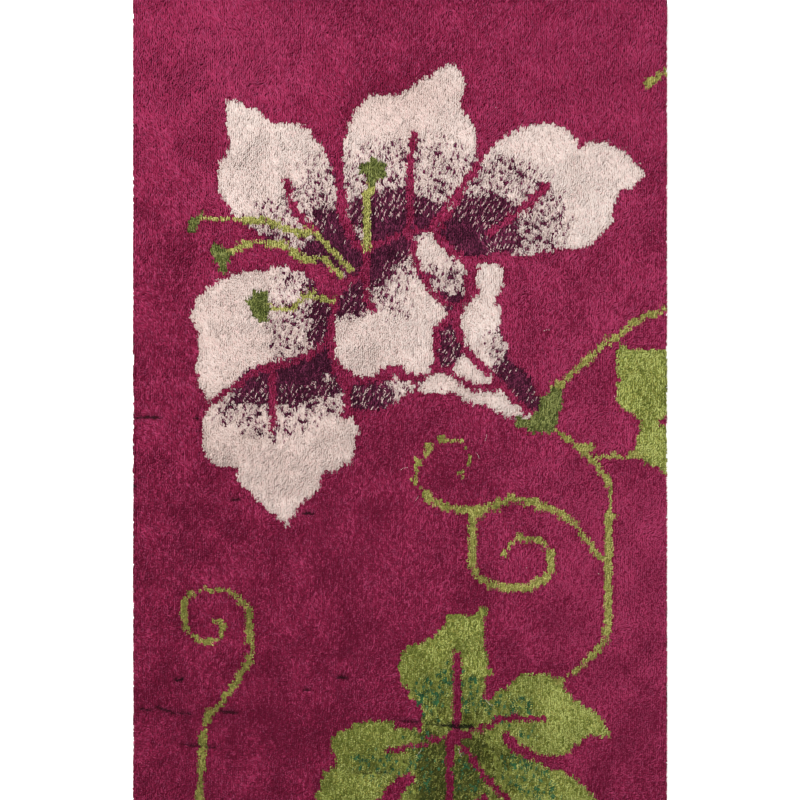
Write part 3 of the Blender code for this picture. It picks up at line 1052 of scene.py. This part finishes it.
def slab(name, inset, charted_height, plain_height, colours, coarseness=1):
    """A closed block the size of the cloth. Its charted side, of the height given by a function, has a cell
    for each knot, or for a few of them, coloured by yarn. Its other side is plain and flat."""
    bm = bmesh.new()
    cells = (KNOTS_ACROSS // coarseness, KNOT_ROWS // coarseness)
    bmesh.ops.create_grid(bm, x_segments=cells[0], y_segments=cells[1], size=1.0)
    for vert in bm.verts:
        vert.co.x *= WIDTH / 2 - inset
        vert.co.y *= LENGTH / 2 - inset
        vert.co.z = charted_height(vert.co.x, vert.co.y)
    rim = [edge for edge in bm.edges if edge.is_boundary]
    made = bmesh.ops.extrude_edge_only(bm, edges=rim)["geom"]
    for item in made:
        if isinstance(item, bmesh.types.BMVert):
            item.co.z = plain_height
    far_rim = [item for item in made if isinstance(item, bmesh.types.BMEdge) and item.is_boundary]
    bmesh.ops.edgeloop_fill(bm, edges=far_rim)
    bmesh.ops.recalc_face_normals(bm, faces=bm.faces)
    mesh = bpy.data.meshes.new(name)
    bm.to_mesh(mesh)
    bm.free()

    middles = np.empty(len(mesh.polygons) * 3, dtype=np.float32)
    mesh.polygons.foreach_get("center", middles)
    middles = middles.reshape(-1, 3)
    i = np.clip(((middles[:, 0] - LOW.x) / KNOT).astype(int), 0, KNOTS_ACROSS - 1)
    j = np.clip(((middles[:, 1] - LOW.y) / KNOT).astype(int), 0, KNOT_ROWS - 1)
    painted = np.ones((len(middles), 4), dtype=np.float32)
    painted[:, :3] = np.array(colours)[chart[j, i]]
    mesh.attributes.new("yarn", "FLOAT_COLOR", "FACE").data.foreach_set("color", painted.ravel())
    lay_flat(mesh)
    return mesh


# --------------------------------------------------------------------------------------------------------
# Finishes


class Value:
    """A socket of a material, which takes part in sums."""

    def __init__(self, paint, socket):
        self.paint = paint
        self.socket = socket

    def _sum(self, operation, first, second):
        return self.paint.node("Math", {"operation": operation}, {0: first, 1: second})

    def __add__(self, other):
        return self._sum("ADD", self, other)

    def __radd__(self, other):
        return self._sum("ADD", other, self)

    def __sub__(self, other):
        return self._sum("SUBTRACT", self, other)

    def __rsub__(self, other):
        return self._sum("SUBTRACT", other, self)

    def __mul__(self, other):
        return self._sum("MULTIPLY", self, other)

    def __rmul__(self, other):
        return self._sum("MULTIPLY", other, self)

    def __pow__(self, power):
        return self._sum("POWER", self, power)


class Paint:
    """A material under construction."""

    def __init__(self, name, **constants):
        self.material = bpy.data.materials.new(name)
        self.material.use_nodes = True
        self.tree = self.material.node_tree
        self.shader = self.tree.nodes["Principled BSDF"]
        for socket, value in constants.items():
            self.shader.inputs[socket.replace("_", " ")].default_value = value

    def node(self, kind, settings, inputs, output=0):
        """Any node: its settings are made first, then its sockets get values or links."""
        node = self.tree.nodes.new("ShaderNode" + kind)
        for key, value in settings.items():
            setattr(node, key, value)
        for key, value in inputs.items():
            if isinstance(value, Value):
                self.tree.links.new(value.socket, node.inputs[key])
            else:
                node.inputs[key].default_value = value
        return Value(self, node.outputs[output])

    def set(self, socket, value):
        self.tree.links.new(value.socket, self.shader.inputs[socket])

    def attribute(self, name, output="Fac"):
        return self.node("Attribute", {"attribute_name": name}, {}, output)

    def mix(self, share, first, second):
        return self.node("Mix", {"data_type": "RGBA"}, {0: share, 6: first, 7: second}, 2)

    def scaled(self, colour, amount):
        return self.node("VectorMath", {"operation": "SCALE"}, {0: colour, "Scale": amount})

    def place(self, stretch=(1, 1, 1)):
        """The point on the cloth in metres, times the stretch along each axis."""
        here = self.node("TexCoord", {}, {}, "Object")
        return self.node("VectorMath", {"operation": "MULTIPLY"}, {0: here, 1: stretch})

    def noise(self, scale, detail=2.0, stretch=(1, 1, 1)):
        """Soft noise from 0 to 1, with the scale as its features to a metre."""
        inputs = {"Vector": self.place(stretch), "Scale": scale, "Detail": detail}
        return self.node("TexNoise", {}, inputs, "Fac")

    def bump(self, height, distance, strength=1.0):
        return self.node("Bump", {}, {"Height": height, "Distance": distance, "Strength": strength})


def rgba(colour):
    return (*colour, 1.0)


# The fibres in a lock: how fine and how drawn out they are, what they do to its tone, and their relief.
FIBRE_FINENESS = 2300.0
FIBRE_STRETCH = (1.0, 0.35, 0.35)
FIBRE_TONES = 0.5
FIBRE_DEPTH = 0.00025
FIBRE_RELIEF = {"blush": 0.4}
OTHER_FIBRE_RELIEF = 0.8
# How strong a tint gets, how a lock fades to its root colour, which is painted shade (painted light on
# blush), and how dark the painted shade in a parting and on lone knots gets.
TINT_STRENGTH = 0.8
PAINTED_ROOT_SHADING_FADE = 0.8
PAINTED_SHADE_STRENGTH = 0.95


def wool(name, dark, middle, light, tint, tint_share, root, relief):
    """Wool pile: each lock has its tone between dark and light, some lean towards a tint, and each fades to
    the colour of its root, as painted shading. What lies deep in a parting gets painted shade."""
    paint = Paint(name, Sheen_Weight=0.06, Sheen_Roughness=0.5, Specular_IOR_Level=0.08)
    fibre = paint.noise(FIBRE_FINENESS, 2.0, FIBRE_STRETCH)
    tone = paint.attribute("tone") + FIBRE_TONES * (fibre - 0.5)
    lower = paint.node("MapRange", {}, {0: tone, 1: 0.0, 2: 0.5})
    upper = paint.node("MapRange", {}, {0: tone, 1: 0.5, 2: 1.0})
    colour = paint.mix(upper, paint.mix(lower, rgba(dark), rgba(middle)), rgba(light))
    tinted = paint.node("MapRange", {}, {0: paint.attribute("tint"), 1: 1 - tint_share, 2: 1.0})
    colour = paint.mix(tinted * TINT_STRENGTH, colour, rgba(tint))
    # Painted shading: each lock fades to its root colour, darker on most yarns for the shade deep in the
    # pile, lighter on blush as painted light.
    colour = paint.mix(paint.attribute("height") ** PAINTED_ROOT_SHADING_FADE, rgba(root), colour)
    # Painted shade: partings, the edges of their gaps and lone blush knots are darkened here.
    paint.set("Base Color", paint.scaled(colour, 1 - PAINTED_SHADE_STRENGTH * paint.attribute("deep")))
    paint.set("Roughness", 0.82 + 0.16 * fibre)
    paint.set("Normal", paint.bump(fibre, FIBRE_DEPTH, relief))
    return paint.material


# Each yarn's dark, middle and light tone, the tint that some of its locks take and how many do, and its
# roots, which are painted shade deep between the locks. Blush has light roots, painted light for the light
# that pale wool scatters down between its locks.
WOOL_TONES = {
    "raspberry": ((0.14, 0.006, 0.030), (0.235, 0.015, 0.058), (0.37, 0.040, 0.115),
                  (0.29, 0.05, 0.125), 0.25, (0.13, 0.005, 0.026)),
    "blush": ((0.345, 0.255, 0.228), (0.405, 0.335, 0.308), (0.49, 0.44, 0.41),
              (0.45, 0.27, 0.262), 0.2, (0.67, 0.56, 0.515)),
    "plum": ((0.026, 0.003, 0.012), (0.070, 0.010, 0.030), (0.20, 0.030, 0.080),
             (0.15, 0.02, 0.065), 0.2, (0.035, 0.004, 0.014)),
    "leaf": ((0.10, 0.115, 0.020), (0.27, 0.30, 0.068), (0.46, 0.49, 0.16),
             (0.36, 0.31, 0.07), 0.25, (0.10, 0.12, 0.02)),
    "moss": ((0.03, 0.04, 0.008), (0.10, 0.11, 0.022), (0.24, 0.25, 0.06),
             (0.14, 0.10, 0.02), 0.2, (0.04, 0.05, 0.01)),
    "vine": ((0.16, 0.165, 0.035), (0.31, 0.30, 0.08), (0.47, 0.45, 0.15),
             (0.38, 0.29, 0.08), 0.25, (0.14, 0.14, 0.03)),
    "lime": ((0.20, 0.20, 0.045), (0.40, 0.385, 0.115), (0.58, 0.56, 0.22),
             (0.46, 0.37, 0.12), 0.25, (0.17, 0.17, 0.04)),
    "sap": ((0.045, 0.06, 0.012), (0.125, 0.142, 0.035), (0.26, 0.28, 0.09),
            (0.16, 0.15, 0.035), 0.2, (0.04, 0.05, 0.012)),
    "teal": ((0.018, 0.075, 0.03), (0.044, 0.14, 0.057), (0.10, 0.22, 0.095),
             (0.10, 0.17, 0.055), 0.2, (0.012, 0.05, 0.025)),
}
# The darker and the lighter colour of what isn't pile.
BACK_COTTON = ((0.42, 0.36, 0.27, 1.0), (0.66, 0.60, 0.49, 1.0))
CORD_COTTON = ((0.40, 0.35, 0.27, 1.0), (0.72, 0.67, 0.56, 1.0))
LINT_FLUFF = ((0.55, 0.47, 0.43, 1.0), (0.78, 0.70, 0.66, 1.0))
FLOOR_WHITE = ((0.90, 0.90, 0.89, 1.0), (0.93, 0.93, 0.92, 1.0))
# On the back, where between two rows of knots the weft starts to show and shows in full, and how well.
WEFT_SHOWS = (0.55, 0.95)
WEFT_COVER = 0.75
NODES_PER_KNOT = 2


def packed_wool():
    """The close-packed lower pile, seen only deep between the locks."""
    paint = Paint("packed_wool", Roughness=0.95, Specular_IOR_Level=0.1)
    fibre = paint.noise(1500.0)
    paint.set("Base Color", paint.scaled(paint.attribute("yarn", "Color"), 0.65 + 0.3 * fibre))
    paint.set("Normal", paint.bump(fibre, 0.0006))
    return paint.material


def knotted_back():
    """The woven back: two nodes to each knot in its yarn's colour, with cotton weft between the rows."""
    paint = Paint("knotted_back", Roughness=0.9, Specular_IOR_Level=0.15)
    here = paint.place()
    across = paint.node("SeparateXYZ", {}, {0: here}, "X")
    along = paint.node("SeparateXYZ", {}, {0: here}, "Y")
    turn = 2 * math.pi / KNOT
    nodes = paint.node("Math", {"operation": "SINE"}, {0: across * (turn * NODES_PER_KNOT)})
    rows = paint.node("Math", {"operation": "COSINE"}, {0: (along - LOW.y) * turn})
    between = paint.node("MapRange", {}, {0: rows, 1: WEFT_SHOWS[0], 2: WEFT_SHOWS[1]})
    fibre = paint.noise(1800.0, 3.0)
    cotton = paint.mix(fibre, *BACK_COTTON)
    wool_colour = paint.scaled(paint.attribute("yarn", "Color"), 0.7 + 0.5 * fibre)
    paint.set("Base Color", paint.mix(between * WEFT_COVER, wool_colour, cotton))
    paint.set("Normal", paint.bump(0.5 * nodes - rows + 0.6 * fibre, 0.0004))
    return paint.material


def cotton_cord():
    paint = Paint("cotton_cord", Roughness=0.9, Specular_IOR_Level=0.15)
    twist = paint.noise(2600.0, 2.0, (1.0, 1.0, 0.5))
    paint.set("Base Color", paint.mix(twist, *CORD_COTTON))
    paint.set("Normal", paint.bump(twist, 0.0003))
    return paint.material


def lint():
    paint = Paint("lint", Roughness=0.8, Sheen_Weight=0.3)
    fluff = paint.noise(3000.0)
    paint.set("Base Color", paint.mix(fluff, *LINT_FLUFF))
    return paint.material


# --------------------------------------------------------------------------------------------------------
# The rug's pieces

on_the_rim = (COLUMN < 1) | (COLUMN > KNOTS_ACROSS - 1) | (ROW < 1) | (ROW > KNOT_ROWS - 1)


def make_pile():
    """One mesh for each yarn, and the ground's in strips along the rug."""
    pieces = []
    for index, yarn in enumerate(YARNS):
        relief = FIBRE_RELIEF.get(yarn, OTHER_FIBRE_RELIEF)
        material = wool(yarn + "_wool", *WOOL_TONES[yarn], relief)
        strips = PILE_STRIPS if yarn == "raspberry" else 1
        for strip in range(strips):
            start = KNOT_ROWS * strip / strips
            end = KNOT_ROWS * (strip + 1) / strips
            cells = (chart == index) & (ROW >= start) & (ROW < end)
            locks = grow_locks(yarn, cells, LOCKS_PER_END, 100 + 10 * index + strip)
            rim = cells & on_the_rim
            if rim.any():
                locks = joined([locks, grow_rim_locks(yarn, rim, 200 + 10 * index + strip)])
            if index in streaks:
                locks = joined([locks, grow_streaks(yarn, streaks[index], 300 + index)])
            name = f"pile_{yarn}" if strips == 1 else f"pile_{yarn}_{strip + 1}"
            pieces.append(add_piece(name, spikes(name, locks), material))
    return pieces


ROOTS_INSET = 0.0008


def make_roots():
    """The close-packed lower pile under the locks, in the lighter of each yarn's middle tone and root:
    under blush that is the root's painted light.
    """
    colours = [np.maximum(WOOL_TONES[yarn][1], WOOL_TONES[yarn][5]) for yarn in YARNS]

    def top(x, y):
        return float(pile_top(x, y)) - LOCK_HEIGHT - ROOTS_BELOW_LOCKS

    mesh = slab("pile_roots", ROOTS_INSET, top, FOUNDATION, colours, coarseness=2)
    return add_piece("pile_roots", mesh, packed_wool())


def make_foundation():
    """The woven back, which stays flat on the floor."""
    colours = [WOOL_TONES[yarn][1] for yarn in YARNS]
    mesh = slab("foundation", FOUNDATION_INSET, lambda x, y: LOW.z, FOUNDATION, colours)
    return add_piece("foundation", mesh, knotted_back())


CORD_RADIUS = 0.00062
CORD_SIDES = 5
CORD_STANDS_OUT = 0.0011
# Along a cord end, in shares of how far it stands out and of its radius. Neighbours lie at two levels.
CORD_PROFILE = [(-0.4, 0.9), (0.7, 1.0), (1.0, 0.72)]
CORD_LEVELS = (FOUNDATION * 0.30, FOUNDATION * 0.70)
CORD_STRAYING = 0.0002


def make_cut_cords():
    """The warp's cut ends along the two short sides and the weft's along the long ones, two to a knot."""
    rng = np.random.default_rng(77)
    bm = bmesh.new()

    def cord_end(x, y, z, across, out):
        """A short round end standing out of the foundation, a little ragged."""
        length = CORD_STANDS_OUT * (0.55 + 0.45 * rng.random())
        radius = CORD_RADIUS * (0.85 + 0.25 * rng.random())
        previous = None
        for reach, swell in CORD_PROFILE:
            ring = []
            for side in range(CORD_SIDES):
                angle = 2 * math.pi * side / CORD_SIDES
                sideways = radius * swell * math.cos(angle)
                up = radius * swell * math.sin(angle)
                if across:
                    ring.append(bm.verts.new((x + out * length * reach, y + sideways, z + up)))
                else:
                    ring.append(bm.verts.new((x + sideways, y + out * length * reach, z + up)))
            if previous:
                for side in range(CORD_SIDES):
                    onward = (side + 1) % CORD_SIDES
                    bm.faces.new([previous[side], previous[onward], ring[onward], ring[side]])
            else:
                bm.faces.new(ring)
            previous = ring
        bm.faces.new(previous)

    edge_x = WIDTH / 2 - FOUNDATION_INSET
    edge_y = LENGTH / 2 - FOUNDATION_INSET
    for index in range(2 * KNOTS_ACROSS - 2):
        x = LOW.x + (index + 1.5) * KNOT / 2 + CORD_STRAYING * rng.normal()
        for out in (-1, 1):
            cord_end(x, out * edge_y, CORD_LEVELS[index % 2], False, out)
    for index in range(2 * KNOT_ROWS - 2):
        y = LOW.y + (index + 1.5) * KNOT / 2 + CORD_STRAYING * rng.normal()
        for out in (-1, 1):
            cord_end(out * edge_x, y, CORD_LEVELS[index % 2], True, out)
    bmesh.ops.recalc_face_normals(bm, faces=bm.faces)
    mesh = bpy.data.meshes.new("cut_cords")
    bm.to_mesh(mesh)
    bm.free()
    mesh.shade_smooth()
    mesh.set_sharp_from_angle(angle=math.radians(50))
    return add_piece("cut_cords", mesh, cotton_cord())


# Loose fibres caught in the pile: place in knots, length in metres, heading in degrees.
FIBRES = [
    (72.8, 77.8, 0.0050, 50),
    (69.5, 85.5, 0.0070, 20),
    (90.5, 93.4, 0.0060, 80),
    (88.4, 88.8, 0.0060, -60),
    (83.8, 12.8, 0.0085, -63),
    (91.3, 25.5, 0.0100, -38),
    (65.3, 14.4, 0.0030, 25),
    (73.3, 12.7, 0.0065, 45),
]
# Flecks: place in knots and how many lie side by side there.
FLECKS = [
    (106.0, 120.9, 3), (93.0, 177.9, 1), (119.3, 58.6, 1), (132.6, 146.1, 1), (123.4, 103.9, 1),
    (100.9, 60, 1),
]
# How thick the strands are, how far a fibre bows and lies above the tips, and a fleck's tangle: how far
# apart flecks lie in knots and stray in metres, and each one's radius, turn and height.
FIBRE_RADIUS = 0.00005
FIBRE_BOW = 0.05
FIBRE_LIFT = 0.0001
FIBRE_POINTS = 6
FLECKS_APART = 0.605
FLECK_STRAYING = 0.0008
FLECK_RADIUS = 0.00042
FLECK_TURN = 2.2 * math.pi
FLECK_LIFT = 0.0003
FLECK_POINTS = 9


def make_lint():
    """Curled fibres as thin tubes, and flecks as small tangles, all lying on the tips of the pile."""
    rng = np.random.default_rng(88)
    curve = bpy.data.curves.new("loose_fibres", "CURVE")
    curve.dimensions = "3D"
    curve.bevel_depth = FIBRE_RADIUS
    curve.bevel_resolution = 1
    curve.use_fill_caps = True
    curve.resolution_u = 4

    def strand(points):
        spline = curve.splines.new("NURBS")
        spline.points.add(len(points) - 1)
        spline.use_endpoint_u = True
        for point, place in zip(spline.points, points):
            point.co = (*place, 1.0)

    for column, row, length, degrees in FIBRES:
        x = LOW.x + column * KNOT
        y = LOW.y + row * KNOT
        angle = math.radians(degrees)
        points = []
        for step in np.linspace(-0.5, 0.5, FIBRE_POINTS):
            bow = FIBRE_BOW * length * math.cos(step * 5 + column)
            px = x + step * length * math.cos(angle) - bow * math.sin(angle)
            py = y + step * length * math.sin(angle) + bow * math.cos(angle)
            points.append((px, py, float(pile_top(px, py)) + FIBRE_LIFT))
        strand(points)
    for column, row, count in FLECKS:
        for fleck in range(count):
            x = LOW.x + (column + FLECKS_APART * (fleck - (count - 1) / 2)) * KNOT
            y = LOW.y + row * KNOT + FLECK_STRAYING * rng.normal()
            points = []
            for turn in np.linspace(0, FLECK_TURN, FLECK_POINTS):
                radius = FLECK_RADIUS * (0.6 + 0.4 * rng.random())
                px = x + radius * math.cos(turn)
                py = y + radius * math.sin(turn)
                points.append((px, py, float(pile_top(px, py)) + FLECK_LIFT * rng.random()))
            strand(points)
    curve.materials.append(lint())
    piece = bpy.data.objects.new("loose_fibres", curve)
    bpy.context.scene.collection.objects.link(piece)
    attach(piece, "root")
    return piece


pile = make_pile()
roots = make_roots()
foundation = make_foundation()
cords = make_cut_cords()
fibres = make_lint()
for piece in [foundation, roots, *pile]:
    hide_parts("rug")

# --------------------------------------------------------------------------------------------------------
# Floor, camera and light

# The floor lies a hair lower than the rug's back, so the two aren't in one plane.
FLOOR_GAP = 0.0002
FLOOR_HALF_SIZE = 3.0


def make_floor():
    bm = bmesh.new()
    bmesh.ops.create_grid(bm, x_segments=1, y_segments=1, size=FLOOR_HALF_SIZE)
    mesh = bpy.data.meshes.new("floor")
    bm.to_mesh(mesh)
    bm.free()
    paint = Paint("floor", Roughness=0.9, Specular_IOR_Level=0.1)
    paint.set("Base Color", paint.mix(paint.noise(3.0), *FLOOR_WHITE))
    mesh.materials.append(paint.material)
    floor = bpy.data.objects.new("floor", mesh)
    floor.location.z = LOW.z - FLOOR_GAP
    bpy.context.scene.collection.objects.link(floor)


LENS = 85
FILM = 36
# The rug's length fills the picture from this share of the distance that would show all of it.
FRAMING = 0.993


def make_camera():
    """Straight above the rug, whose length fills the picture from edge to edge."""
    data = bpy.data.cameras.new("camera")
    data.lens = LENS
    data.sensor_width = FILM
    camera = bpy.data.objects.new("camera", data)
    camera.location = (0, 0, THICKNESS + FRAMING * LENGTH * LENS / FILM)
    bpy.context.scene.collection.objects.link(camera)
    bpy.context.scene.camera = camera


def add_light(name, place, size, power):
    data = bpy.data.lights.new(name, "AREA")
    data.size = size
    data.energy = power
    light = bpy.data.objects.new(name, data)
    light.location = place
    light.rotation_euler = (-Vector(place)).to_track_quat("-Z", "Y").to_euler()
    bpy.context.scene.collection.objects.link(light)


def make_light():
    add_light("key", (-1.0, 1.5, 2.2), 1.4, 118)
    add_light("fill", (1.4, -1.0, 2.2), 2.0, 42)
    world = bpy.data.worlds.new("studio")
    world.use_nodes = True
    sky = world.node_tree.nodes["Background"].inputs
    sky["Color"].default_value = (1.0, 1.0, 1.0, 1.0)
    sky["Strength"].default_value = 0.9
    bpy.context.scene.world = world
    bpy.context.scene.view_settings.view_transform = "Standard"


make_floor()
make_camera()
make_light()
